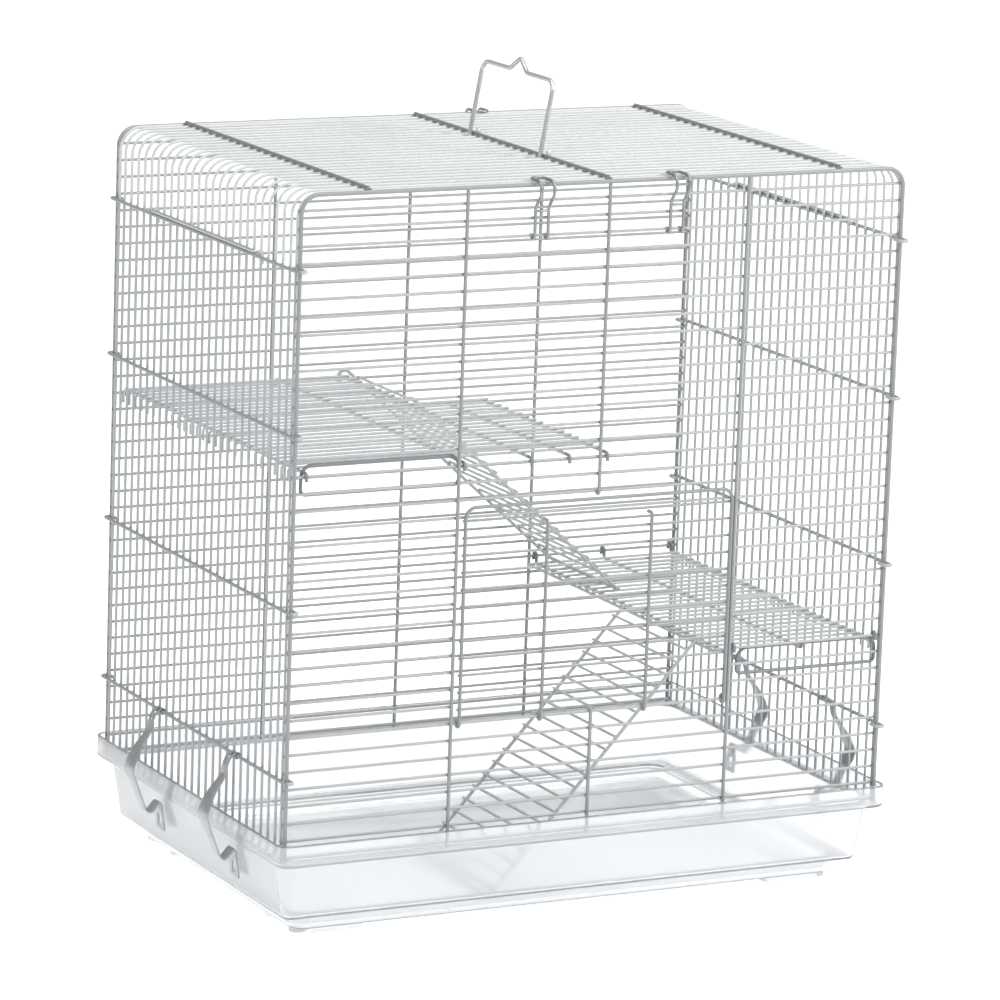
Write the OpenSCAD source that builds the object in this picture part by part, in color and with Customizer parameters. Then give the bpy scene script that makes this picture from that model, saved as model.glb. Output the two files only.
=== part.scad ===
// Wire pet cage with a clear base tray, two inside shelves, two ramps and a hinged front door.
// Millimetres. The middle of the footprint is the origin, the feet stand on z = 0,
// +Z is up and the door faces -Y.

/* [Cage] */
// Distance between the middles of a panel's two corner posts
cage_w = 462; // [450:1:470]
// Distance between the level wires of the front and the back panel
cage_d = 303; // [298:1:306]
// Height step from one level wire to the next
row_pitch = 12; // [11.8:0.1:12.2]
// Thickness of the level wires
wire_d = 2; // [1.8:0.1:2]
// Thickness of ribs, rails, bearers and door wires
rib_d = 2.5; // [2.3:0.1:2.5]
// Thickness of the corner frame wires
frame_d = 3; // [2.8:0.1:3]

/* [Tray] */
// Height of the wire panels' lowest level wire above the floor
wires_up = 61.5; // [59:0.5:64]
// Wall thickness of the clear tray
tray_wall = 2; // [1.8:0.1:2.2]
// How far the rim stands out past the wire panels at the front
rim_out = 11.5; // [10.5:0.5:12]

/* [Handle] */
// Thickness of the carry handle's wire
handle_d = 3.2; // [3:0.1:3.4]
// Height of the handle's top bar above its pivot wire
handle_h = 52; // [45:0.5:55]
// Lean of the handle from upright
handle_lean = 10; // [0:1:15]

/* [Ramps and clips] */
// Sheet thickness of a side clip
clip_t = 1.2; // [1:0.1:1.3]
// Width of a side clip where it presses on the tray rim
clip_w = 15.5; // [13:0.5:17]
// Distance between rungs along a ramp
rung_pitch = 11.4; // [10.5:0.1:12.5]

/* [Hidden] */
$fn = 48;

// How far welded wires sink into each other
weld = 0.25;
// Gap between pieces that rest against each other
touch = 0.05;
// Gap round a piece that turns
free = 0.35;
// Extra thickness of the round joint at a corner with no bend
joint_extra = 0.04;

// Level wires from the roof down to the bottom wire
rows = 38;
door_top_row = 19;
door_foot_row = 31;
rib_end_row = 18;
shelf_row = 16;
low_shelf_row = 28;
hook_row = 3;
// Heights of the side rails, counted in rows below the roof
rail_rows = [4.33, 13.67, 23.67, 33.46];

post_x = cage_w / 2;
level_y = cage_d / 2;
rib_y = level_y + (wire_d + rib_d) / 2 - weld;
post_y = level_y + (wire_d + frame_d) / 2 - weld;
rail_x = post_x + (frame_d + rib_d) / 2 + touch;
side_x = rail_x - (wire_d + rib_d) / 2 + weld;
skirt_x = rail_x - (wire_d + rib_d) / 2 - touch;
rib_x = 108;
side_gaps = 26;
edge_y = level_y - 2.3;
stand_z = wires_up - 2.4;
top_z = row_z(0) - 1;
roof_z = row_z(0) - 0.5;
cross_z = roof_z + (wire_d + rib_d) / 2 - weld;
cross_x = 181;
seam_z = row_z(rail_rows[0]);

function row_z(k) = wires_up + (rows - k) * row_pitch;
function side_y(j) = j == 0 ? -edge_y : j == side_gaps ? edge_y : -level_y + j * cage_d / side_gaps;
function unit(v) = v / norm(v);
function reverse(p) = [for (i = [len(p) - 1 : -1 : 0]) p[i]];
function corner_turn(p, i) = acos(unit(p[i] - p[i - 1]) * unit(p[i + 1] - p[i]));
function corner_cut(p, i, r) = (i == 0 || i == len(p) - 1) ? 0 : r * tan(corner_turn(p, i) / 2);

// A straight round wire between two points
module wire(a, b, d) {
    v = b - a;
    translate(a)
        rotate([0, acos(v.z / norm(v)), atan2(v.y, v.x)])
            cylinder(d = d, h = norm(v));
}

// A bend in a wire, starting at centre + r * u and turning about w
module bend(centre, u, w, r, turn, d) {
    v = cross(w, u);
    multmatrix([[u.x, v.x, w.x, centre.x], [u.y, v.y, w.y, centre.y], [u.z, v.z, w.z, centre.z]])
        rotate_extrude(angle = turn)
            translate([r, 0])
                circle(d = d);
}

// A wire through a list of points, its corners rounded to r, or to the list r.
// A corner with no radius gets a round joint instead of a bend.
module wire_path(p, r, d) {
    cut = [for (i = [0 : len(p) - 1]) corner_cut(p, i, is_list(r) ? r[i - 1] : r)];
    for (i = [0 : len(p) - 2]) {
        dir = unit(p[i + 1] - p[i]);
        a = p[i] + dir * cut[i];
        b = p[i + 1] - dir * cut[i + 1];
        if ((b - a) * dir > 0.01) wire(a, b, d);
    }
    for (i = [1 : len(p) - 2]) {
        ri = is_list(r) ? r[i - 1] : r;
        u1 = unit(p[i] - p[i - 1]);
        u2 = unit(p[i + 1] - p[i]);
        w = unit(cross(u1, u2));
        inward = cross(w, u1);
        if (ri == 0)
            translate(p[i]) sphere(d = d + joint_extra);
        else
            bend(p[i] - u1 * cut[i] + inward * ri, -inward, w, ri, corner_turn(p, i), d);
    }
}

// [Front and back panels], drawn at the front
corner_bend = 13;
clinch_turn = 150;

module level_wires(door) {
    reach = post_x + 1;
    for (k = [1 : rows - 1]) {
        in_doorway = door && k > door_top_row && k < door_foot_row;
        if (in_doorway) {
            for (s = [-1, 1])
                wire([s * reach, -level_y, row_z(k)], [s * (rib_x - 1.5), -level_y, row_z(k)], wire_d);
        } else {
            wire([-reach, -level_y, row_z(k)], [reach, -level_y, row_z(k)], wire_d);
        }
    }
    wire([-reach, -level_y, row_z(rows)], [reach, -level_y, row_z(rows)], rib_d);
}

// An upright rib that ends curled round the level wire of the row it meets
module clinched_rib(z_far, row) {
    down = z_far > row_z(row);
    wire([0, -rib_y, z_far], [0, -rib_y, row_z(row)], rib_d);
    bend([0, -level_y, row_z(row)], [0, -1, 0], [down ? 1 : -1, 0, 0], rib_y - level_y, clinch_turn, rib_d);
}

module wire_panel(door) {
    wire_path([[-post_x, -post_y, stand_z], [-post_x, -post_y, top_z], [post_x, -post_y, top_z],
        [post_x, -post_y, stand_z]], corner_bend, frame_d);
    level_wires(door);
    for (s = [-1, 1])
        wire([s * rib_x, -rib_y, stand_z], [s * rib_x, -rib_y, top_z], rib_d);
    if (door) {
        clinched_rib(top_z, rib_end_row);
        clinched_rib(stand_z, door_foot_row);
    } else {
        wire([0, -rib_y, stand_z], [0, -rib_y, top_z], rib_d);
    }
}

module front_panel() {
    color("gainsboro") wire_panel(true);
}

module back_panel() {
    color("gainsboro") mirror([0, 1, 0]) wire_panel(false);
}

// [Side panels], drawn at the right
module side_panel() {
    curl_r = (frame_d + rib_d) / 2 + touch;
    curl_end = level_y + 5.5 + curl_r;
    back_leg_x = post_x - curl_r;
    for (j = [0 : side_gaps])
        wire([side_x, side_y(j), stand_z], [side_x, side_y(j), seam_z + 0.2], wire_d);
    for (k = rail_rows) {
        z = row_z(k);
        wire_path([[back_leg_x, -level_y + 1, z], [back_leg_x, -curl_end, z], [rail_x, -curl_end, z],
            [rail_x, curl_end, z], [back_leg_x, curl_end, z], [back_leg_x, level_y - 1, z]], curl_r, rib_d);
    }
}

module right_panel() {
    color("gainsboro") side_panel();
}

module left_panel() {
    color("gainsboro") mirror([1, 0, 0]) side_panel();
}

// [Roof]
roof_bend = 16;
rod_bend = 2.9;

module roof_panel() {
    color("gainsboro") {
        for (j = [0 : side_gaps]) {
            y = side_y(j);
            wire_path([[-skirt_x, y, seam_z + 0.3], [-skirt_x, y, roof_z], [skirt_x, y, roof_z],
                [skirt_x, y, seam_z + 0.3]], roof_bend, wire_d);
        }
        for (x = [-cross_x, 0, cross_x])
            wire([x, -edge_y - 0.5, cross_z], [x, edge_y + 0.5, cross_z], rib_d);
    }
}

// Rod that ties the roof's skirt to a side panel, drawn at the right. It lies on
// the panel's top rail, and its ends turn inwards and down behind the wires.
module joint_rod() {
    half = round(side_y(20.5) * 10) / 10;
    z = seam_z + rib_d + touch;
    x_in = rail_x - 2 * rod_bend;
    wire_path([[x_in, -half, z - 9], [x_in, -half, z], [rail_x, -half, z], [rail_x, half, z],
        [x_in, half, z], [x_in, half, z - 9]], rod_bend, rib_d);
}

module right_joint_rod() {
    color("silver") joint_rod();
}

module left_joint_rod() {
    color("silver") mirror([1, 0, 0]) joint_rod();
}

// [Clear tray]
rim_y = level_y + rim_out;
rim_x = post_x + rim_out - 4.5;
rim_r = 10;
rim_low = wires_up - 4.5;
rim_high = wires_up + 11.5;
wall_x = post_x + 1;
wall_y = level_y + 0.5;
wall_r = 14;
taper = 7;
ledge_z = wires_up - 46.5;
base_x = wall_x - 17;
base_y = wall_y - 17;
base_r = 14;
base_taper = 3;
base_z = 3.5;
pad_long = 52;
pad_wide = 16;

module round_rect(x, y, r) {
    square([2 * (x - r), 2 * y], center = true);
    square([2 * x, 2 * (y - r)], center = true);
    for (sx = [-1, 1])
        for (sy = [-1, 1])
            translate([sx * (x - r), sy * (y - r)]) circle(r = r);
}

// A wall that leans in by lean from z = high down to z = low, as a rounded rectangle
module leaning_wall(x, y, r, lean, low, high) {
    t = tray_wall;
    section = [[r, high], [r - lean, low], [r - lean - t, low], [r - t, high]];
    for (turn = [0, 180]) {
        wall_side(x, y, r, section, turn);
        wall_side(y, x, r, section, turn + 90);
    }
    for (sx = [0, 1])
        for (sy = [0, 1])
            mirror([sx, 0, 0]) mirror([0, sy, 0])
                translate([x - r, y - r, 0])
                    rotate_extrude(angle = 90)
                        polygon(section);
}

module wall_side(x, y, r, section, turn) {
    rotate(turn)
        translate([x - r, y - r, 0])
            rotate([90, 0, 0])
                linear_extrude(2 * (y - r))
                    polygon(section);
}

// A flat ring of tray wall thickness between two rounded rectangles
module flat_ring(outer, inner, z) {
    translate([0, 0, z])
        linear_extrude(tray_wall)
            difference() {
                round_rect(outer[0], outer[1], outer[2]);
                round_rect(inner[0], inner[1], inner[2]);
            }
}

module base_tray() {
    t = tray_wall;
    color("whitesmoke", 0.5) {
        translate([0, 0, rim_low])
            linear_extrude(rim_high - rim_low)
                difference() {
                    round_rect(rim_x, rim_y, rim_r);
                    round_rect(rim_x - t, rim_y - t, rim_r - t);
                }
        flat_ring([rim_x, rim_y, rim_r], [wall_x - t, wall_y - t, wall_r - t], rim_low);
        leaning_wall(wall_x, wall_y, wall_r, taper, ledge_z, rim_low + t);
        flat_ring([wall_x - taper, wall_y - taper, wall_r - taper], [base_x - t, base_y - t, base_r - t], ledge_z);
        leaning_wall(base_x, base_y, base_r, base_taper, base_z, ledge_z + t);
        translate([0, 0, base_z])
            linear_extrude(t)
                round_rect(base_x - base_taper, base_y - base_taper, base_r - base_taper);
        linear_extrude(base_z + 1)
            corner_pads(base_x - base_taper - 1, base_y - base_taper - 1, base_r - base_taper - 1);
    }
}

// Four feet, each one following a corner of the tray's base
module corner_pads(x, y, r) {
    difference() {
        round_rect(x, y, r);
        round_rect(x - pad_wide, y - pad_wide, 2);
        square([2 * (x - pad_long), 3 * y], center = true);
        square([3 * x, 2 * (y - pad_long)], center = true);
    }
}

// [Shelves]
deck_inset = 11.1;
deck_gaps = 26;
deck_end_x = post_x - 1.7;
loop_y = level_y - 2.6;
loop_h = 20;
low_loop_h = 18;
shelf_z = row_z(shelf_row) + (wire_d + rib_d) / 2 + touch;
low_shelf_z = row_z(low_shelf_row) - 5.3;
deck_up = (wire_d + rib_d) / 2 - weld;
rest_hook_r = (wire_d + rib_d) / 2 + touch;
notch_wire = 16;
notch_x = -51.5;
nose_x = 7;
low_edge_x = 103.5;

function deck_y(i) = -level_y + deck_inset + i * (cage_d - 2 * deck_inset) / deck_gaps;

// One deck wire from an open edge to the wall, where it turns down
module deck_wire(x_edge, side, y, z) {
    wire_path([[x_edge, y, z], [side * deck_end_x, y, z], [side * deck_end_x, y, z - 9]], 2.5, wire_d);
}

// Wire loop that stiffens a shelf behind the front panel, bent wide at the top and tight at the bottom
module shelf_loop(x1, x2, z_top, h) {
    z_low = z_top - h;
    xm = (x1 + x2) / 2;
    wire_path([[xm, -loop_y, z_top], [x2, -loop_y, z_top], [x2, -loop_y, z_low], [x1, -loop_y, z_low],
        [x1, -loop_y, z_top], [xm, -loop_y, z_top]], [8, 3.5, 3.5, 8], rib_d);
}

// Hook at the front end of an upper-shelf bearer, over the panel's level wire
module resting_hook(x) {
    z = row_z(shelf_row);
    bend([x, -level_y, z], [0, 0, 1], [1, 0, 0], rest_hook_r, 90, rib_d);
    wire([x, -level_y - rest_hook_r, z], [x, -level_y - rest_hook_r, z - 3], rib_d);
}

module upper_shelf() {
    left = -post_x + 9;
    loop_right = -rib_x + 2;
    z_deck = shelf_z + deck_up;
    edge_x = notch_x - rib_d / 2;
    color("gainsboro") {
        for (i = [0 : deck_gaps])
            deck_wire(i <= notch_wire ? nose_x : notch_x, -1, deck_y(i), z_deck);
        for (x = [left, loop_right + 2, edge_x]) {
            wire([x, -level_y, shelf_z], [x, level_y, shelf_z], rib_d);
            resting_hook(x);
            mirror([0, 1, 0]) resting_hook(x);
        }
        for (x = [edge_x + 29, nose_x - 1.5]) {
            wire([x, -level_y, shelf_z], [x, deck_y(notch_wire) + 0.8, shelf_z], rib_d);
            resting_hook(x);
        }
        shelf_loop(left - 2, loop_right, z_deck + 2.7, loop_h);
    }
}

// Bearer of the lower shelf, its ends bent up; hooks lists the ends that hook over the level wires,
// 0 for the front and 1 for the back
module hung_bearer(x, hooks) {
    z = row_z(low_shelf_row);
    rise_y = level_y - rest_hook_r;
    wire_path([[x, -rise_y, z], [x, -rise_y, low_shelf_z], [x, rise_y, low_shelf_z], [x, rise_y, z]], 3, rib_d);
    for (s = hooks)
        mirror([0, s, 0]) {
            bend([x, -level_y, z], [0, 1, 0], [1, 0, 0], rest_hook_r, 180, rib_d);
            wire([x, -level_y - rest_hook_r, z], [x, -level_y - rest_hook_r, z - 3], rib_d);
        }
}

module lower_shelf() {
    right = post_x - 4.5;
    loop_left = rib_x + 9;
    left = rib_x + 4;
    z_deck = low_shelf_z + deck_up;
    edge_x = low_edge_x + 1.5;
    color("gainsboro") {
        for (i = [0 : deck_gaps])
            deck_wire(low_edge_x, 1, deck_y(i), z_deck);
        for (x = [left, right])
            hung_bearer(x, [0, 1]);
        hung_bearer((left + right) / 2, [1]);
        wire([edge_x, deck_y(0) - 0.8, low_shelf_z], [edge_x, deck_y(deck_gaps) + 6.4, low_shelf_z], rib_d);
        shelf_loop(loop_left, right + 2, z_deck + 1.7, low_loop_h);
    }
}

// [Ramps]
ramp_gaps = 10;
upper_hook_r = 5.2;
lower_hook_r = rib_d + free;
foot_d = rib_d + 0.3;
upper_ramp_first = 16.5;
lower_ramp_first = 2.5;
upper_foot_x = 121;
lower_foot_x = -54.5;
upper_foot_z = low_shelf_z + deck_up + wire_d / 2 + free + foot_d / 2;
lower_foot_z = base_z + tray_wall + free + foot_d / 2;

// A ladder ramp in its own frame: it hooks round a bearer at the origin and
// goes down towards +X, its foot bar at the point foot = [x, z]
module ramp(foot, y1, y2, hook_r) {
    reach = norm(foot);
    run = sqrt(reach * reach - hook_r * hook_r);
    slope = atan2(-foot[1], foot[0]) + asin(hook_r / reach);
    rungs = floor((run - 12) / rung_pitch);
    rotate([0, slope, 0]) {
        for (y = [y1, y2]) {
            bend([0, y, 0], [0, 0, 1], [0, -1, 0], hook_r, 165, rib_d);
            wire([0, y, hook_r], [run, y, hook_r], rib_d);
        }
        wire([run, y1 - 2.2, hook_r], [run, y2 + 2.2, hook_r], foot_d);
        for (i = [0 : rungs])
            wire([9 + i * rung_pitch, y1 - 1, hook_r + deck_up],
                [9 + i * rung_pitch, y2 + 1, hook_r + deck_up], wire_d);
    }
}

module upper_ramp() {
    edge_x = notch_x - rib_d / 2;
    color("gainsboro")
        translate([edge_x, 0, shelf_z])
            ramp([upper_foot_x - edge_x, upper_foot_z - shelf_z],
                deck_y(upper_ramp_first), deck_y(upper_ramp_first + ramp_gaps), upper_hook_r);
}

module lower_ramp() {
    edge_x = low_edge_x + 1.5;
    color("gainsboro")
        translate([edge_x, 0, low_shelf_z])
            mirror([1, 0, 0])
                ramp([edge_x - lower_foot_x, lower_foot_z - low_shelf_z],
                    deck_y(lower_ramp_first), deck_y(lower_ramp_first + ramp_gaps), lower_hook_r);
}

// [Front door]
door_mid = 1.5;
door_half = 103.5;
door_inner = 40.5;
door_bend = 8;
door_curl_r = (wire_d + rib_d) / 2 + free;
door_y = level_y + door_curl_r;
door_wires = 12;

// Points of the curl round the hinge wire, from the back of the wire to its front
function curl_points(x, y, z, r) =
    [[x, y, z + r], [x, y + r, z + r], [x, y + r, z - r], [x, y - r, z - r]];

module front_door() {
    z_top = row_z(door_top_row) + 7;
    z_first = row_z(door_top_row) - 2.5;
    tip_z = row_z(door_top_row) - 6;
    wire_y = door_y - (wire_d + rib_d) / 2 + weld;
    z_hinge = row_z(door_foot_row);
    x_left = door_mid - door_half;
    x_right = door_mid + door_half;
    color("gainsboro") {
        for (s = [-1, 1]) {
            x = door_mid + s * door_inner;
            wire_path(concat(curl_points(x, -level_y, z_hinge, door_curl_r),
                [[x, -door_y, tip_z], [x, -level_y + 3, tip_z]]),
                [door_curl_r, door_curl_r, door_curl_r, 2], rib_d);
        }
        wire_path(concat(curl_points(x_left, -level_y, z_hinge, door_curl_r),
            [[x_left, -door_y, z_top], [x_right, -door_y, z_top]], 
            reverse(curl_points(x_right, -level_y, z_hinge, door_curl_r))),
            [door_curl_r, door_curl_r, door_curl_r, door_bend, door_bend, door_curl_r, door_curl_r,
                door_curl_r], rib_d);
        for (i = [0 : door_wires - 1])
            wire([x_left - 1, -wire_y, z_first - i * row_pitch],
                [x_right + 1, -wire_y, z_first - i * row_pitch], wire_d);
    }
}

// [Carry handle]
handle_foot = 8.5;
handle_foot_shift = 2;
handle_bend = 7;
peak_half = 14;
peak_up = 9;
handle_hook_r = (rib_d + handle_d) / 2 + free;

// Points of a foot's hook, from its tip under the pivot wire to the leg
function foot_points(y, r) = [[r, y, 4], [r, y, -r], [-r, y, -r]];

module carry_handle() {
    y = round((side_y(side_gaps - handle_foot) + handle_foot_shift) * 10) / 10;
    r = handle_hook_r;
    h = handle_h;
    color("silver")
        translate([0, 0, cross_z])
            rotate([0, handle_lean, 0])
                wire_path(concat(foot_points(-y, r),
                    [[-r, -y, h], [-r, -peak_half, h], [-r, 0, h + peak_up], [-r, peak_half, h], [-r, y, h]],
                    reverse(foot_points(y, r))),
                    [r, r, handle_bend, 0, 0, 0, handle_bend, r, r], handle_d);
}

// [Roof hooks], drawn at the front right
hook_x = 52;
hook_half = 5;
hook_d = 2.2;
hook_curl_r = (wire_d + hook_d) / 2 + free;
over_r = (frame_d + hook_d) / 2 + free;

// Points of one leg, from the curl round the level wire up over the corner frame
function hook_points(x, y, z, y_over, z_over, y_end) =
    [[x, y + hook_curl_r, z + 1], [x, y + hook_curl_r, z - hook_curl_r], [x, y - hook_curl_r, z - hook_curl_r],
    [x, y - hook_curl_r, z_over - 14], [x, y_over, z_over - 14], [x, y_over, z_over], [x, y_end, z_over]];

module roof_hook() {
    y_end = -edge_y + 6;
    z_over = top_z + over_r;
    x_in = hook_x - hook_half;
    x_out = hook_x + hook_half;
    y_over = -post_y - over_r - 5;
    r = hook_curl_r;
    step_r = (-level_y - r - y_over) / 2;
    wire_path(concat(hook_points(x_in, -level_y, row_z(hook_row), y_over, z_over, y_end),
        reverse(hook_points(x_out, -level_y, row_z(hook_row), y_over, z_over, y_end))),
        [r, r, step_r, step_r, 5, hook_half, hook_half, 5, step_r, step_r, r, r], hook_d);
    wire([x_in, -level_y - r, row_z(1.5)], [x_out, -level_y - r, row_z(1.5)], hook_d - 0.4);
}

module hook_front_right() {
    color("silver") roof_hook();
}

module hook_front_left() {
    color("silver") mirror([1, 0, 0]) roof_hook();
}

module hook_back_right() {
    color("silver") mirror([0, 1, 0]) roof_hook();
}

// [Side clips], drawn at the right with the rail's middle as origin
clip_eye_r = rib_d / 2 + 0.06;
clip_ear = 8;
clip_slot = 3;
clip_front_gap = 6.5;
clip_back_gap = 17.5;
// Points of the strip's middle line, outwards from the rail and down from it
clip_line = [[2.2, 0.6], [5, -1.4], [6.8, -5.5], [8.2, -12.5], [11, -17.5], [15.4, -23], [19.8, -30.5],
    [22.8, -38], [23.3, -41], [22.4, -44.5], [17, -56.5], [12.4, -68], [10.6, -71.8], [8.6, -73], [6.4, -72.2],
    [1, -66.2]];
clip_tail = [[1, -66.2], [-0.4, -67.4], [-0.9, -73], [-1.5, -80], [-2.2, -87]];
// Half width of the strip at heights below the rail
clip_sides = [[4, 8], [4, -12], [4.8, -20], [clip_w / 2, -36], [clip_w / 2, -46], [5, -57], [5, -71.5],
    [6.6, -76], [7, -88]];

function side_off(p, i, s) =
    let (a = p[max(i - 1, 0)], b = p[min(i + 1, len(p) - 1)], t = (b - a) / norm(b - a))
    p[i] + s * [-t.y, t.x];

module strip(p, t) {
    polygon(concat([for (i = [0 : len(p) - 1]) side_off(p, i, t / 2)],
        [for (i = [len(p) - 1 : -1 : 0]) side_off(p, i, -t / 2)]));
}

module across(w) {
    rotate([90, 0, 0]) translate([0, 0, -w / 2]) linear_extrude(w) children();
}

// The strip's outline as seen from the side of the cage
module clip_outline() {
    rotate([90, 0, 90])
        translate([0, 0, -10])
            linear_extrude(50)
                polygon(concat(clip_sides,
                    [for (i = [len(clip_sides) - 1 : -1 : 0]) [-clip_sides[i][0], clip_sides[i][1]]]));
}

module clip() {
    difference() {
        union() {
            across(clip_ear) circle(r = clip_eye_r + clip_t);
            intersection() {
                across(2 * clip_w) {
                    strip(clip_line, clip_t);
                    strip(clip_tail, clip_t);
                }
                clip_outline();
            }
        }
        across(clip_w + 2) circle(r = clip_eye_r);
        translate([-4, -clip_slot / 2, -6]) cube([12, clip_slot, 12]);
        translate([-12, -2.5, -83]) cube([14, 5, 7]);
    }
}

module place_clip(j) {
    translate([rail_x, side_y(j), row_z(rail_rows[3])]) clip();
}

module clip_right_front() {
    color("darkgray") place_clip(clip_front_gap);
}

module clip_right_back() {
    color("darkgray") place_clip(clip_back_gap);
}

module clip_left_front() {
    color("darkgray") mirror([1, 0, 0]) place_clip(clip_front_gap);
}

module clip_left_back() {
    color("darkgray") mirror([1, 0, 0]) place_clip(clip_back_gap);
}

base_tray();
front_panel();
back_panel();
left_panel();
right_panel();
roof_panel();
left_joint_rod();
right_joint_rod();
upper_shelf();
lower_shelf();
front_door();
carry_handle();
upper_ramp();
lower_ramp();
clip_left_front();
clip_left_back();
clip_right_front();
clip_right_back();
hook_front_left();
hook_front_right();
hook_back_right();
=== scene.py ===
# Looks for the wire pet cage with a clear base tray.
# Metres, in the CAD model's frame: the feet stand on z = 0 and the door faces -Y.
import math

import bmesh
import bpy
from mathutils import Matrix, Vector


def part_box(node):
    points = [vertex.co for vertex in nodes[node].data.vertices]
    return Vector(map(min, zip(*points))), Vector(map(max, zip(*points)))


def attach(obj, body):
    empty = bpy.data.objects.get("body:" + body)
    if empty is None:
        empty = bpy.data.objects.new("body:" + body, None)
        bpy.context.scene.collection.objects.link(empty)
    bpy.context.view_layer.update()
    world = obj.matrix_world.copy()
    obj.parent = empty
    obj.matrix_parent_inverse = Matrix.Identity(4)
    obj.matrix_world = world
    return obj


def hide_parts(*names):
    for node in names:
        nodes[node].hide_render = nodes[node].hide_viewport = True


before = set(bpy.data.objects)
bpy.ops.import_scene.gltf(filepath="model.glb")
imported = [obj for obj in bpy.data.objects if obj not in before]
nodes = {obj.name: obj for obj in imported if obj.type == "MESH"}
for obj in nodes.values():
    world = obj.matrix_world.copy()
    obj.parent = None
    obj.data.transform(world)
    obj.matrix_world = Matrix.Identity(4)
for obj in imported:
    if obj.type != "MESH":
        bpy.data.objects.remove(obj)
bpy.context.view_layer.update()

MM = 0.001
WHITE = (1.0, 1.0, 1.0, 1.0)

# Main sizes of the cage, in millimetres
POST_X = 231.0
LEVEL_Y = 151.5
WIRES_UP = 61.5
ROW_PITCH = 12.0
ROWS = 38
WIRE_D = 2.0
RIB_D = 2.5
FRAME_D = 3.0
# Height of the roof wires' middle
ROOF_Z = WIRES_UP + ROWS * ROW_PITCH - 0.5
# Heights of the tray's edges
RIM_LOW = WIRES_UP - 4.5
RIM_HIGH = WIRES_UP + 11.5
LEDGE_Z = WIRES_UP - 46.5
BASE_Z = 3.5
# Height and half width of the painted shade lines along the tray's edges
EDGE_LEVELS = (
    (RIM_HIGH, 1.2),
    (RIM_LOW + 0.6, 1.0),
    (LEDGE_Z + 1.4, 0.7),
    (LEDGE_Z - 1.2, 0.7),
    (BASE_Z + 0.6, 0.6),
)
# Rounding of sheared and moulded edges, and the room that a hook leaves round its wire
EDGE_ROUND = 0.25
HOOK_ROOM = 0.35


# Small tools
def from_hex(text):
    """An sRGB hex colour as linear red, green, blue and an alpha of 1."""
    parts = [int(text[i:i + 2], 16) / 255 for i in (1, 3, 5)]
    linear = [c / 12.92 if c <= 0.04045 else ((c + 0.055) / 1.055) ** 2.4 for c in parts]
    return (*linear, 1.0)


def per_metre(size_mm):
    """Scale of a pattern whose features are size_mm across."""
    return 1.0 / (size_mm * MM)


def feed(tree, socket, value):
    """Fills an input with a value, another node's output or a node's first output."""
    if isinstance(value, bpy.types.Node):
        value = next(s for s in value.outputs if s.enabled)
    if isinstance(value, bpy.types.NodeSocket):
        tree.links.new(value, socket)
    else:
        socket.default_value = value


def add(tree, kind, settings=None, inputs=None):
    """Adds a node, sets its properties and fills its inputs by name."""
    node = tree.nodes.new(kind)
    for name, value in (settings or {}).items():
        setattr(node, name, value)
    for name, value in (inputs or {}).items():
        feed(tree, next(s for s in node.inputs if s.name == name and s.enabled), value)
    return node


def maths(tree, operation, *values):
    """A sum or another operation on values in their order."""
    node = add(tree, "ShaderNodeMath", {"operation": operation})
    for socket, value in zip(node.inputs, values):
        feed(tree, socket, value)
    return node


def fade(tree, value, start=0.0, end=1.0, first=0.0, last=1.0):
    """Runs from first, where value is start, to last, where it is end, and stays there beyond."""
    return add(tree, "ShaderNodeMapRange", None,
               {"Value": value, "From Min": start, "From Max": end, "To Min": first, "To Max": last})


def colours(tree, share, first, second):
    """A colour that goes from first to second with share."""
    return add(tree, "ShaderNodeMix", {"data_type": "RGBA"}, {"Factor": share, "A": first, "B": second})


def noise(tree, coords, size_mm, detail):
    """Soft noise whose clouds are size_mm across."""
    return add(tree, "ShaderNodeTexNoise", None,
               {"Vector": coords, "Scale": per_metre(size_mm), "Detail": detail})


def relief(tree, height, strength, depth_mm):
    """A bump of depth_mm from a height pattern."""
    return add(tree, "ShaderNodeBump", None,
               {"Height": height, "Strength": strength, "Distance": depth_mm * MM})


def new_material(name):
    """An empty node material, its output and its object coordinates."""
    material = bpy.data.materials.new(name)
    material.use_nodes = True
    tree = material.node_tree
    tree.nodes.clear()
    output = add(tree, "ShaderNodeOutputMaterial")
    coords = add(tree, "ShaderNodeTexCoord").outputs["Object"]
    return material, tree, output, coords


def finish_piece(name, bm, material, body, smooth_angle=35):
    """Turns a bmesh in metres into a shaded piece that rides on a body."""
    mesh = bpy.data.meshes.new(name)
    bm.to_mesh(mesh)
    bm.free()
    mesh.materials.append(material)
    piece = bpy.data.objects.new(name, mesh)
    bpy.context.scene.collection.objects.link(piece)
    mesh.shade_smooth()
    mesh.set_sharp_from_angle(angle=math.radians(smooth_angle))
    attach(piece, body)
    return piece


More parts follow.
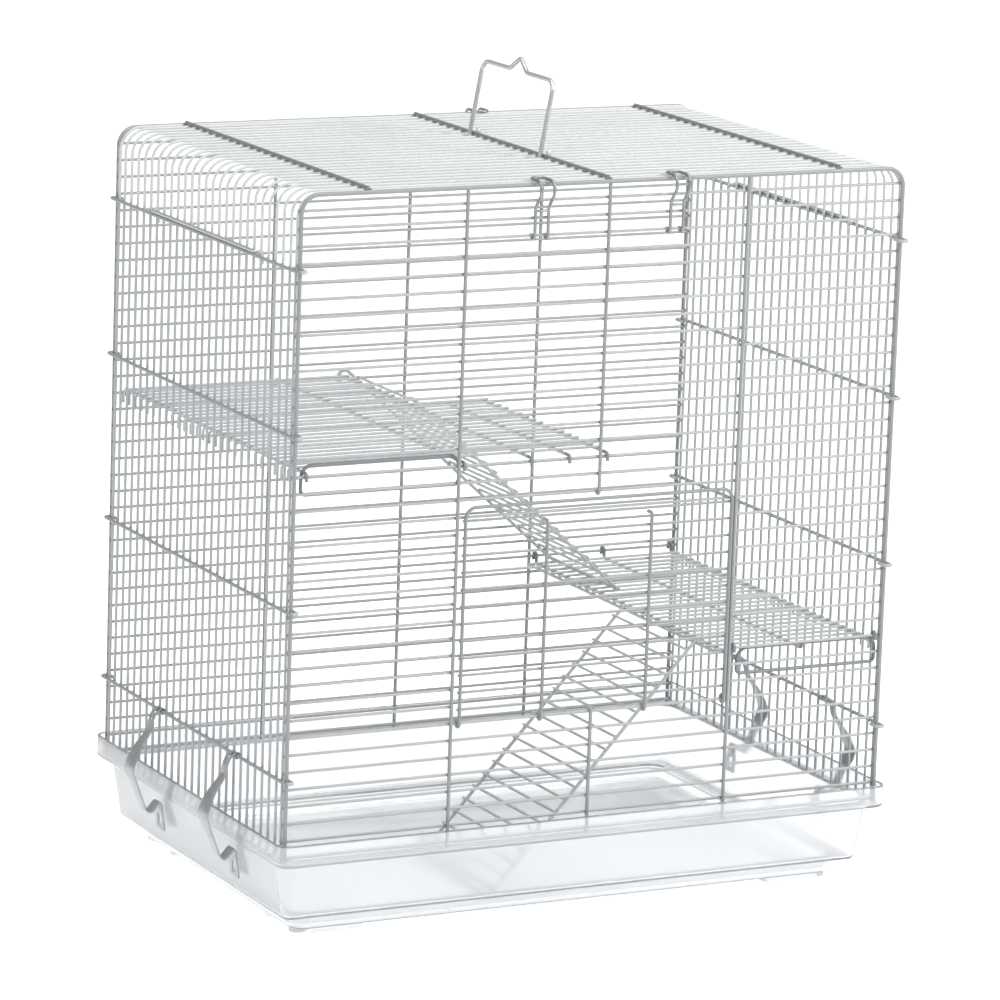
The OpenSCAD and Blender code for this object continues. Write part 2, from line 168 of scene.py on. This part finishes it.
# Materials
def powder_coat(name, light, shade, roughness, painted_outer_shade=None):
    """Steel wire with a baked powder coat: a soft sheen, faint orange peel and slightly uneven colour.
    The optional last argument is an axis, a distance in millimetres and a darker colour painted as shade on
    the wires beyond it."""
    material, tree, output, coords = new_material(name)
    tint = colours(tree, noise(tree, coords, 45, 3.0), from_hex(shade), from_hex(light))
    # Painted shade: the wires beyond the distance get the darker colour, as if they lay in shade
    if painted_outer_shade:
        axis, beyond, painted_shade_colour = painted_outer_shade
        split = add(tree, "ShaderNodeSeparateXYZ", None, {"Vector": coords})
        outwards = maths(tree, "ABSOLUTE", split.outputs[axis])
        share = fade(tree, outwards, (beyond - 0.1) * MM, (beyond + 0.1) * MM)
        tint = colours(tree, share, tint, from_hex(painted_shade_colour))
    # The real peel is about 0.3 mm across; 0.8 mm is the finest that shows
    peel = noise(tree, coords, 0.8, 2.0)
    gloss = fade(tree, peel, first=roughness - 0.06, last=roughness + 0.08)
    shader = add(tree, "ShaderNodeBsdfPrincipled", None,
                 {"Base Color": tint, "Roughness": gloss,
                  "Normal": relief(tree, peel, 0.25, 0.05), "IOR": 1.5})
    tree.links.new(shader.outputs["BSDF"], output.inputs["Surface"])
    return material


def zinc_plate(name, light, shade, roughness, streak_mm):
    """Bright zinc plate on steel: a metal with cloudy colour and fine drawing streaks."""
    material, tree, output, coords = new_material(name)
    tint = colours(tree, noise(tree, coords, 6, 4.0), from_hex(shade), from_hex(light))
    streak = noise(tree, coords, streak_mm, 3.0)
    gloss = fade(tree, streak, first=roughness - 0.08, last=roughness + 0.12)
    shader = add(tree, "ShaderNodeBsdfPrincipled", None,
                 {"Base Color": tint, "Roughness": gloss,
                  "Normal": relief(tree, streak, 0.3, 0.04), "Metallic": 1.0})
    tree.links.new(shader.outputs["BSDF"], output.inputs["Surface"])
    return material


def edge_shade_mask(tree, height):
    """Mask of the painted shade lines: 1 on the moulded edges round the tray, 0 elsewhere."""
    lines = [maths(tree, "COMPARE", height, level * MM, half * MM) for level, half in EDGE_LEVELS]
    edges = lines[0]
    for line in lines[1:]:
        edges = maths(tree, "MAXIMUM", line, edges)
    return edges


def clear_styrene(name):
    """Clear moulded polystyrene: a glossy rim over frosted walls, a milky haze, scuffs and mould waves."""
    material, tree, output, coords = new_material(name)
    split = add(tree, "ShaderNodeSeparateXYZ", None, {"Vector": coords})
    height = split.outputs["Z"]
    wave = noise(tree, coords, 60, 1.0)
    scuff = noise(tree, coords, 7, 5.0)
    wall_frost = fade(tree, height, (RIM_LOW - 2) * MM, (RIM_LOW + 1) * MM, 0.19, 0.08)
    clear_base = fade(tree, height, (LEDGE_Z - 1) * MM, (LEDGE_Z + 2) * MM, -0.09, 0.0)
    frost = maths(tree, "ADD", wall_frost, clear_base)
    gloss = maths(tree, "MULTIPLY_ADD", scuff, 0.06, frost)
    # Plastic looked at aslant shows more of its depth, down to the dark outline of a corner
    aslant = add(tree, "ShaderNodeLayerWeight", None, {"Blend": 0.5})
    depth = fade(tree, aslant.outputs["Facing"], 0.48, 0.88)
    above_floor = fade(tree, height, (BASE_Z + 3.8) * MM, (BASE_Z + 4.8) * MM)
    outline = maths(tree, "MULTIPLY", depth, above_floor)
    body_tint = colours(tree, outline, from_hex("#F3F4F5"), from_hex("#767B7E"))
    # Painted shade: the moulded edges are drawn as darker lines
    tint = colours(tree, edge_shade_mask(tree, height), body_tint, from_hex("#AEB1B3"))
    # The floor is scratched milky by bedding
    wall_haze = fade(tree, wave, first=0.88, last=0.78)
    floor_haze = fade(tree, above_floor, first=0.5, last=1.0)
    haze = maths(tree, "MULTIPLY", wall_haze, floor_haze)
    glass = add(tree, "ShaderNodeBsdfPrincipled", None,
                {"Base Color": tint, "Roughness": gloss, "Specular IOR Level": 0.3,
                 "Normal": relief(tree, wave, 0.5, 1.0), "IOR": 1.45, "Transmission Weight": haze})
    see_through = add(tree, "ShaderNodeBsdfTransparent", None, {"Color": from_hex("#F4F5F6")})
    rays = add(tree, "ShaderNodeLightPath")
    mix = add(tree, "ShaderNodeMixShader", None, {"Fac": rays.outputs["Is Shadow Ray"]})
    tree.links.new(glass.outputs["BSDF"], mix.inputs[1])
    tree.links.new(see_through.outputs["BSDF"], mix.inputs[2])
    tree.links.new(mix.outputs["Shader"], output.inputs["Surface"])
    return material


def matt_floor(name):
    """Plain pale studio floor."""
    material, tree, output, _ = new_material(name)
    shader = add(tree, "ShaderNodeBsdfPrincipled", None,
                 {"Base Color": from_hex("#F4F4F4"), "Roughness": 0.9,
                  "Emission Color": WHITE, "Emission Strength": 0.35})
    tree.links.new(shader.outputs["BSDF"], output.inputs["Surface"])
    return material


# Colour, its darker clouds, roughness, and the darker colour painted as shade on the wires beyond a
# distance: the outer frame wires, the roof's cross rods and the shelves' loops
PANEL_COAT = powder_coat("white_powder_coat", "#9FA2A3", "#909394", 0.38,
                         ("Y", LEVEL_Y + 1.1, "#838687"))
SIDE_COAT = powder_coat("white_powder_coat_sides", "#A3A6A8", "#94979A", 0.38,
                        ("X", POST_X + 1.9, "#808384"))
# Painted light: the roof's coat is lighter than the same white coat on the other panels, as the top light
# falls on it
ROOF_COAT = powder_coat("white_powder_coat_roof", "#BBBEBE", "#B0B3B3", 0.42,
                        ("Z", ROOF_Z + 1.05, "#6E7170"))
DOOR_COAT = powder_coat("white_powder_coat_door", "#9FA2A3", "#909394", 0.38,
                        ("Y", LEVEL_Y + 1.5, "#7E8182"))
SHELF_COAT = powder_coat("grey_powder_coat", "#B1B4B5", "#A2A5A6", 0.36,
                         ("Y", LEVEL_Y - 4.0, "#74777A"))
# Painted shade: the welds' dark colour stands for the shade where two wires cross
WELD_SHADE_COAT = powder_coat("weld_painted_shade_coat", "#6C6F70", "#5E6161", 0.45)
ZINC_WIRE = zinc_plate("bright_zinc_wire", "#CDCECF", "#AEB0B2", 0.36, 0.9)
DULL_ZINC = zinc_plate("dull_zinc_wire", "#9C9E9F", "#838586", 0.42, 0.9)
ZINC_STRIP = zinc_plate("zinc_plated_strip", "#B3B6B8", "#8C8F91", 0.38, 1.2)
STYRENE = clear_styrene("clear_polystyrene")

NODE_COATS = {
    "front_panel": PANEL_COAT,
    "back_panel": PANEL_COAT,
    "left_panel": SIDE_COAT,
    "right_panel": SIDE_COAT,
    "roof_panel": ROOF_COAT,
    "upper_shelf": SHELF_COAT,
    "lower_shelf": SHELF_COAT,
    "front_door": DOOR_COAT,
    "upper_ramp": SHELF_COAT,
    "lower_ramp": SHELF_COAT,
    "left_joint_rod": ZINC_WIRE,
    "right_joint_rod": ZINC_WIRE,
    "carry_handle": ZINC_WIRE,
    "hook_front_left": DULL_ZINC,
    "hook_front_right": DULL_ZINC,
    "hook_back_right": DULL_ZINC,
    "clip_left_front": ZINC_STRIP,
    "clip_left_back": ZINC_STRIP,
    "clip_right_front": ZINC_STRIP,
    "clip_right_back": ZINC_STRIP,
}

for node_name, coat in NODE_COATS.items():
    node_mesh = nodes[node_name].data
    node_mesh.materials.clear()
    node_mesh.materials.append(coat)


# Clear tray
def rounded(points, radii, steps=4):
    """Corner points of a line with each corner turned into an arc of its radius."""
    out = []
    for i, (point, radius) in enumerate(zip(points, radii)):
        here = Vector(point)
        if radius == 0:
            out.append(here)
            continue
        back = (Vector(points[i - 1]) - here).normalized()
        ahead = (Vector(points[i + 1]) - here).normalized()
        half_angle = math.acos(max(-1.0, min(1.0, back.dot(ahead)))) / 2
        reach = radius / math.tan(half_angle)
        middle = here + (back + ahead).normalized() * (radius / math.sin(half_angle))
        start = (here + back * reach - middle).normalized()
        end = (here + ahead * reach - middle).normalized()
        out += [middle + start.slerp(end, k / steps) * radius for k in range(steps + 1)]
    return out


# Wall thickness, and how far the wall and the base lean in towards their feet
TRAY_WALL = 2.0
WALL_LEAN = 7.0
BASE_LEAN = 3.0
CORNER_STEPS = 10
# Half width of the rim, the wall and the base, how much less their half depth is, and their corner radius
RIM = (POST_X + 7.0, POST_X - LEVEL_Y - 4.5, 10.0)
WALL = (POST_X + 1.0, POST_X - LEVEL_Y + 0.5, 14.0)
BASE = (WALL[0] - 17.0, WALL[1], 14.0)
# The floor is flat at its edge, and its middle is raised a little, up a short slope
FLOOR_EDGE = 12.0
STEP_IN = 27.0
STEP_UP = 1.2
STEP_SLOPE = 1.6
STEP_CORNER = 6.0


def ring_start(bm, centre, radius, z):
    """A rounded rectangle of vertices: a circle pulled apart to its four corner middles."""
    circle = bmesh.ops.create_circle(bm, cap_ends=False, segments=4 * CORNER_STEPS + 4, radius=1.0)["verts"]
    turned = Matrix.Rotation(math.pi / (4 * CORNER_STEPS + 4), 4, "Z")
    bmesh.ops.transform(bm, matrix=turned, verts=circle)
    for vert in circle:
        direction = Vector((vert.co.x, vert.co.y))
        place_on_ring(vert, direction, centre, radius, z)
    return list({edge for vert in circle for edge in vert.link_edges})


def place_on_ring(vert, direction, centre, radius, z):
    """Moves a vertex to its direction's place on the corner arc of a ring."""
    side_x = math.copysign(1, direction.x)
    side_y = math.copysign(1, direction.y)
    vert.co = Vector((side_x * centre[0] + direction.x * radius,
                      side_y * centre[1] + direction.y * radius, z)) * MM


def next_ring(bm, edges, old_centre, old_radius, centre, radius, z):
    """Extrudes a ring of edges to the next point of the section."""
    grown = bmesh.ops.extrude_edge_only(bm, edges=edges)["geom"]
    for vert in (g for g in grown if isinstance(g, bmesh.types.BMVert)):
        flat = Vector((vert.co.x, vert.co.y)) / MM
        corner = Vector((math.copysign(old_centre[0], flat.x), math.copysign(old_centre[1], flat.y)))
        place_on_ring(vert, (flat - corner) / old_radius, centre, radius, z)
    return [g for g in grown if isinstance(g, bmesh.types.BMEdge) and g.is_boundary]


def ring_of(part, x, z):
    """Corner middle, corner radius and height of the ring at half width x of a part of the tray."""
    width, less, radius = part
    return (width - radius, width - less - radius), x - width + radius, z


def tray_shell():
    """The tray's rim, wall, ledge and floor as one closed shell, its section swept round the corners."""
    t = TRAY_WALL
    rim, wall, base = RIM[0], WALL[0], BASE[0]
    corners = [
        (BASE, base - FLOOR_EDGE, BASE_Z + t, 0), (BASE, base - BASE_LEAN - t, BASE_Z + t, 1.5),
        (BASE, base - t, LEDGE_Z + t, 2), (WALL, wall - WALL_LEAN - t, LEDGE_Z + t, 2),
        (WALL, wall - t, RIM_LOW + t, 0), (RIM, rim - t, RIM_LOW + t, 1.2), (RIM, rim - t, RIM_HIGH, 0.7),
        (RIM, rim, RIM_HIGH, 0.7), (RIM, rim, RIM_LOW, 2), (WALL, wall, RIM_LOW, 0),
        (WALL, wall - WALL_LEAN, LEDGE_Z, 3), (BASE, base, LEDGE_Z, 1),
        (BASE, base - BASE_LEAN, BASE_Z, 2), (BASE, base - FLOOR_EDGE, BASE_Z, 0)]
    rings = []
    for i, (part, x, z, radius) in enumerate(corners):
        near = corners[max(i - 1, 0):i + 2]
        bend = [None, Vector((x, z)), None]
        if radius:
            bend = rounded([(c[1], c[2]) for c in near], [0, radius, 0])
        rings += [ring_of(part, point.x, point.y) for point in bend[1:-1]]
    bm = bmesh.new()
    centre, radius, z = rings[0]
    edges = ring_start(bm, centre, radius, z)
    floor_cap(bm, edges, BASE_Z + t)
    for new_centre, new_radius, new_z in rings[1:]:
        edges = next_ring(bm, edges, centre, radius, new_centre, new_radius, new_z)
        centre, radius = new_centre, new_radius
    floor_cap(bm, edges, BASE_Z)
    bmesh.ops.recalc_face_normals(bm, faces=bm.faces)
    return finish_piece("tray_shell", bm, STYRENE, "cage")


def floor_cap(bm, edges, z):
    """Closes a ring of the floor: flat up to the step, a short slope, and the raised middle."""
    centre, radius, _ = ring_of(BASE, BASE[0] - FLOOR_EDGE, z)
    for inset, height in ((0.0, z), (STEP_SLOPE, z + STEP_UP)):
        shrink = STEP_IN + inset + STEP_CORNER
        middle = (BASE[0] - shrink, BASE[0] - BASE[1] - shrink)
        edges = next_ring(bm, edges, centre, radius, middle, STEP_CORNER, height)
        centre, radius = middle, STEP_CORNER
    bmesh.ops.contextual_create(bm, geom=edges)


FOOT_LONG = 52.0
FOOT_WIDE = 16.0
# The pads stop just short of the base, so that no two faces lie on each other
FOOT_TOP = BASE_Z - 0.05


def tray_feet():
    """Four low L-shaped pads under the corners of the tray's base."""
    x = BASE[0] - BASE_LEAN - 1
    y = x - BASE[1]
    inner_x, inner_y = x - FOOT_WIDE, y - FOOT_WIDE
    end_x, end_y = x - FOOT_LONG, y - FOOT_LONG
    start = (x - FOOT_LONG / 2, y)
    outline = rounded(
        [start, (x, y), (x, end_y), (inner_x, end_y),
         (inner_x, inner_y), (end_x, inner_y), (end_x, y), start],
        [0, 10, 3, 3, 3, 3, 3, 0], steps=9)[:-1]
    bm = bmesh.new()
    for side_x in (-1, 1):
        for side_y in (-1, 1):
            spots = [Vector((side_x * p.x, side_y * p.y, FOOT_TOP)) * MM for p in outline]
            ring = [bmesh.ops.create_vert(bm, co=spot)["vert"][0] for spot in spots]
            face = bmesh.ops.contextual_create(bm, geom=ring)["faces"]
            low = bmesh.ops.extrude_face_region(bm, geom=face)["geom"]
            verts = [g for g in low if isinstance(g, bmesh.types.BMVert)]
            bmesh.ops.translate(bm, vec=(0, 0, -FOOT_TOP * MM), verts=verts)
            rim = [e for e in bm.edges if e.verts[0] in verts and e.verts[1] in verts]
            bmesh.ops.bevel(bm, geom=rim, offset=EDGE_ROUND * MM, segments=2, profile=0.5,
                            affect="EDGES", material=-1)
    bmesh.ops.recalc_face_normals(bm, faces=bm.faces)
    return finish_piece("tray_feet", bm, STYRENE, "cage")


tray = tray_shell()
feet = tray_feet()
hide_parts("base_tray")
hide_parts("base_tray")


# Bent wires
# A wire's chamfered end: its share of the full girth, and its length as a share of the diameter
END_GIRTH = 0.78
END_NICK = 0.12
# What two bends of a hook leave of the straight between them
BEND_SLACK = 0.05


def tube(bm, points, radii, wire_d):
    """A round wire along points in millimetres, its corners bent to radii and its ends chamfered."""
    line = rounded(points, radii, steps=7)
    nick = wire_d * END_NICK
    line.insert(1, line[0] + (line[1] - line[0]).normalized() * nick)
    line.insert(-1, line[-1] + (line[-2] - line[-1]).normalized() * nick)
    last = len(line) - 1
    along = [(line[min(i + 1, last)] - line[max(i - 1, 0)]).normalized() for i in range(last + 1)]
    girth = [END_GIRTH] + [1.0] * (last - 1) + [END_GIRTH]
    start = Matrix.Translation(line[0] * MM) @ along[0].to_track_quat("Z", "Y").to_matrix().to_4x4()
    ring = bmesh.ops.create_circle(bm, cap_ends=False, segments=16, radius=wire_d / 2 * girth[0] * MM,
                                   matrix=start)["verts"]
    edges = list({edge for vert in ring for edge in vert.link_edges})
    bmesh.ops.contextual_create(bm, geom=edges)
    for i in range(1, last + 1):
        grown = bmesh.ops.extrude_edge_only(bm, edges=edges)["geom"]
        verts = [g for g in grown if isinstance(g, bmesh.types.BMVert)]
        edges = [g for g in grown if isinstance(g, bmesh.types.BMEdge) and g.is_boundary]
        turn = along[i - 1].rotation_difference(along[i]).to_matrix().to_4x4()
        step = (Matrix.Translation(line[i] * MM) @ turn @ Matrix.Scale(girth[i] / girth[i - 1], 4)
                @ Matrix.Translation(-line[i - 1] * MM))
        bmesh.ops.transform(bm, matrix=step, verts=verts)
    bmesh.ops.contextual_create(bm, geom=edges)
    bmesh.ops.recalc_face_normals(bm, faces=bm.faces)


def there_and_back(points):
    """Points of one half of a bent wire, then the other half mirrored."""
    return points + [Vector((p.x, -p.y, p.z)) for p in reversed(points)]


PIVOT_Z = ROOF_Z + 2.0
HANDLE_D = 3.2
HANDLE_H = 52.0
HANDLE_HALF = 54.4
HANDLE_LEAN = 10.0
# The peak in the middle of the top bar
PEAK_HALF = 13.0
PEAK_H = 9.0
HANDLE_HOOK_R = (RIB_D + HANDLE_D) / 2 + HOOK_ROOM


def handle_wire():
    """The carry handle: hooked feet, two legs, and a top bar with a peak in its middle."""
    r, y, h = HANDLE_HOOK_R, -HANDLE_HALF, HANDLE_H
    foot_bend = r - BEND_SLACK
    half = [Vector(p) for p in ((r, y, 4), (r, y, -r), (-r, y, -r), (-r, y, h), (-r, -PEAK_HALF, h))]
    points = there_and_back(half)
    points.insert(len(half), Vector((-r, 0, h + PEAK_H)))
    bends = [0, foot_bend, foot_bend, 8, 7]
    lean = Matrix.Rotation(math.radians(HANDLE_LEAN), 3, "Y")
    points = [lean @ p + Vector((0, 0, PIVOT_Z)) for p in points]
    bm = bmesh.new()
    tube(bm, points, bends + [3.5] + bends[::-1], HANDLE_D)
    piece = finish_piece("carry_handle_wire", bm, ZINC_WIRE, "handle", smooth_angle=50)
    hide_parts("carry_handle")


HOOK_X = 52.0
HOOK_HALF = 5.0
HOOK_D = 2.2
HOOK_ROW_Z = WIRES_UP + (ROWS - 3) * ROW_PITCH
HOOK_R = (WIRE_D + HOOK_D) / 2 + HOOK_ROOM
# A hook bows out past the corner frame, lies on the roof at a height, and reaches in past the level wires
HOOK_BOW = 7.75
HOOK_LIE_Z = ROOF_Z + 2.45
HOOK_REACH = 8.3
# The small rod across the legs is a little thinner and ends a little outside them
CROSS_THINNER = 0.4
CROSS_OUT = 0.6
CROSS_Z = ROOF_Z - 18.5


def hook_wire(node_name, side_x, side_y, body):
    """A hairpin that curls round a level wire, bows out past the corner frame and lies on the roof."""
    x, y, z, r = -HOOK_HALF, LEVEL_Y, HOOK_ROW_Z, HOOK_R
    bow = y + r + HOOK_BOW
    leg = [(x, y - r, z + 1), (x, y - r, z - r), (x, y + r, z - r), (x, y + r, ROOF_Z - 16),
           (x, bow, ROOF_Z - 7), (x, bow, HOOK_LIE_Z), (x, y - HOOK_REACH, HOOK_LIE_Z)]
    other = [(-p[0], p[1], p[2]) for p in reversed(leg)]
    bends = [0, r - BEND_SLACK, r - BEND_SLACK, 8, 6, 5.5, HOOK_HALF - BEND_SLACK]
    points = [Vector((side_x * HOOK_X + p[0], side_y * p[1], p[2])) for p in leg + other]
    bm = bmesh.new()
    tube(bm, points, bends + bends[::-1], HOOK_D)
    cross_half = HOOK_HALF + CROSS_OUT
    cross = [Vector((side_x * HOOK_X + s * cross_half, side_y * (y + r), CROSS_Z)) for s in (-1, 1)]
    tube(bm, cross, [0, 0], HOOK_D - CROSS_THINNER)
    piece = finish_piece(node_name + "_wire", bm, DULL_ZINC, body, smooth_angle=50)
    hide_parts(node_name)


handle_wire()
hook_wire("hook_front_left", -1, -1, "front_left_hook")
hook_wire("hook_front_right", 1, -1, "front_right_hook")
hook_wire("hook_back_right", 1, 1, "back_right_hook")


# Side clips
def clip_strip(node_name, body):
    """A clip's bent strip with its sheared edges rounded over."""
    bm = bmesh.new()
    bm.from_mesh(nodes[node_name].data)
    bmesh.ops.remove_doubles(bm, verts=bm.verts, dist=0.01 * MM)
    bmesh.ops.dissolve_limit(bm, angle_limit=math.radians(1), verts=bm.verts, edges=bm.edges)
    sharp = [e for e in bm.edges if e.is_manifold and e.calc_face_angle(0) > math.radians(50)]
    bmesh.ops.bevel(bm, geom=sharp, offset=EDGE_ROUND * MM, segments=2, profile=0.5,
                    affect="EDGES", material=-1)
    piece = finish_piece(node_name + "_strip", bm, ZINC_STRIP, body)
    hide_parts(node_name)


for side in ("left", "right"):
    for end in ("front", "back"):
        clip_strip(f"clip_{side}_{end}", f"{side}_{end}_clip")


# Resistance welds, squeezed out a little where two wires cross, in a dark coat that is painted shade
SIDE_GAPS = 26
RIB_X = 108.0
RAIL_ROWS = (4.33, 13.67, 23.67, 33.46)
RAIL_X = POST_X + (FRAME_D + RIB_D) / 2
CROSS_X = 181.0
DOOR_FOOT_ROW = 31
RIB_END_ROW = 18
WELD_Y = LEVEL_Y + WIRE_D / 2
# The outermost wires of the sides stand this far inside the corner
SIDE_EDGE_Y = LEVEL_Y - 2.3
# Half sizes of a weld drop on the front and back, on the sides and on the roof; the roof's drops are wider
# than a weld, to paint shade beside the cross rods
PANEL_DROP = (1.8, 0.85, 1.4)
SIDE_DROP = (0.7, 1.35, 1.5)
ROOF_DROP = (3.4, 1.7, 1.1)


def row_z(k):
    """Height of level wire k, counted from the top."""
    return WIRES_UP + (ROWS - k) * ROW_PITCH


def side_y(j):
    """Place of upright j of a side, counted from the front."""
    return max(-SIDE_EDGE_Y, min(SIDE_EDGE_Y, -LEVEL_Y + j * 2 * LEVEL_Y / SIDE_GAPS))


def welds(name, places, half_size):
    """Drops of metal at a list of points, half_size being their half width, depth and height, dark as
    painted shade.
    """
    bm = bmesh.new()
    for place in places:
        spot = Matrix.Translation(Vector(place) * MM) @ Matrix.Diagonal((*(Vector(half_size) * MM), 1.0))
        bmesh.ops.create_icosphere(bm, subdivisions=2, radius=1.0, matrix=spot)
    finish_piece(name, bm, WELD_SHADE_COAT, "cage", smooth_angle=80)


def panel_places(sign, uprights, rows=range(1, ROWS + 1)):
    """Crossings of the level wires with the uprights at the front, sign -1, or the back, sign 1."""
    return [(x, sign * WELD_Y, row_z(k)) for x in uprights for k in rows]


front_places = panel_places(-1, (-POST_X, -RIB_X, RIB_X, POST_X))
front_places += panel_places(-1, (0,), range(1, RIB_END_ROW))
front_places += panel_places(-1, (0,), range(DOOR_FOOT_ROW + 1, ROWS + 1))
welds("front_panel_welds", front_places, PANEL_DROP)
welds("back_panel_welds", panel_places(1, (-POST_X, -RIB_X, 0, RIB_X, POST_X)), PANEL_DROP)

for side, sign in (("left", -1), ("right", 1)):
    places = [(sign * (RAIL_X - 1.1), side_y(j), row_z(k)) for k in RAIL_ROWS for j in range(SIDE_GAPS + 1)]
    welds(f"{side}_panel_welds", places, SIDE_DROP)

roof_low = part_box("roof_panel")[1].z / MM - RIB_D
roof_places = [(x, side_y(j), roof_low + 0.1) for x in (-CROSS_X, 0, CROSS_X) for j in range(SIDE_GAPS + 1)]
welds("roof_panel_welds", roof_places, ROOF_DROP)


# Studio
FLOOR_HALF_M = 30.0
FLOOR_DROP = 0.3


def studio_floor():
    """A wide plain floor, a hair below the feet."""
    bm = bmesh.new()
    bmesh.ops.create_grid(bm, x_segments=1, y_segments=1, size=FLOOR_HALF_M)
    bmesh.ops.translate(bm, vec=(0, 0, -FLOOR_DROP * MM), verts=bm.verts)
    mesh = bpy.data.meshes.new("studio_floor")
    bm.to_mesh(mesh)
    bm.free()
    mesh.materials.append(matt_floor("matt_white_floor"))
    floor = bpy.data.objects.new("studio_floor", mesh)
    bpy.context.scene.collection.objects.link(floor)


def studio_world():
    """An even white room that the camera sees as plain white."""
    world = bpy.data.worlds.new("studio_world")
    bpy.context.scene.world = world
    world.use_nodes = True
    tree = world.node_tree
    tree.nodes.clear()
    direction = add(tree, "ShaderNodeTexCoord").outputs["Generated"]
    split = add(tree, "ShaderNodeSeparateXYZ", None, {"Vector": direction})
    strength = fade(tree, split.outputs["Z"], -0.1, 0.8, 0.45, 0.88)
    room = add(tree, "ShaderNodeBackground", None, {"Color": WHITE, "Strength": strength})
    plain = add(tree, "ShaderNodeBackground", None, {"Color": WHITE, "Strength": 1.1})
    rays = add(tree, "ShaderNodeLightPath")
    mix = add(tree, "ShaderNodeMixShader", None, {"Fac": rays.outputs["Is Camera Ray"]})
    tree.links.new(room.outputs["Background"], mix.inputs[1])
    tree.links.new(plain.outputs["Background"], mix.inputs[2])
    output = add(tree, "ShaderNodeOutputWorld")
    tree.links.new(mix.outputs["Shader"], output.inputs["Surface"])


CAGE_MIDDLE = Vector((0, 0, WIRES_UP + ROWS * ROW_PITCH / 2)) * MM


def direction_to(azimuth, elevation):
    """Unit vector from the cage; azimuth is in degrees to the right of the front."""
    a = math.radians(azimuth)
    e = math.radians(elevation)
    return Vector((math.sin(a) * math.cos(e), -math.cos(a) * math.cos(e), math.sin(e)))


def soft_box(name, azimuth, elevation, distance, size, power):
    """A round soft lamp that faces the cage's middle; distance and size in metres, power in watts."""
    lamp = bpy.data.lights.new(name, "AREA")
    lamp.shape = "DISK"
    lamp.size = size
    lamp.energy = power
    holder = bpy.data.objects.new(name, lamp)
    away = direction_to(azimuth, elevation)
    holder.location = CAGE_MIDDLE + away * distance
    holder.rotation_euler = away.to_track_quat("Z", "Y").to_euler()
    bpy.context.scene.collection.objects.link(holder)


# Fitted to the photo: angles in degrees, the distance in metres
CAMERA_AZIMUTH = -27.224
CAMERA_ELEVATION = 11.830
CAMERA_ROLL = 1.979
CAMERA_DISTANCE = 3.9687
CAMERA_LENS_MM = 201.1
CAMERA_SHIFT = (0.0024, -0.0362)


def photo_camera():
    """The camera at the photo's viewing angle, turned to the cage's middle."""
    camera = bpy.data.cameras.new("photo_camera")
    camera.lens = CAMERA_LENS_MM
    camera.sensor_width = 36.0
    camera.shift_x, camera.shift_y = CAMERA_SHIFT
    camera.clip_end = 100.0
    holder = bpy.data.objects.new("photo_camera", camera)
    away = direction_to(CAMERA_AZIMUTH, CAMERA_ELEVATION)
    turn = away.to_track_quat("Z", "Y").to_matrix() @ Matrix.Rotation(math.radians(CAMERA_ROLL), 3, "Z")
    holder.rotation_euler = turn.to_euler()
    holder.location = CAGE_MIDDLE + away * CAMERA_DISTANCE
    bpy.context.scene.collection.objects.link(holder)
    bpy.context.scene.camera = holder


studio_floor()
studio_world()
soft_box("key_light", azimuth=43, elevation=34, distance=3.0, size=0.7, power=52)
soft_box("fill_light", azimuth=-60, elevation=40, distance=3.5, size=2.0, power=24)
soft_box("top_light", azimuth=-10, elevation=82, distance=3.0, size=2.2, power=45)
photo_camera()
bpy.context.scene.view_settings.view_transform = "Standard"
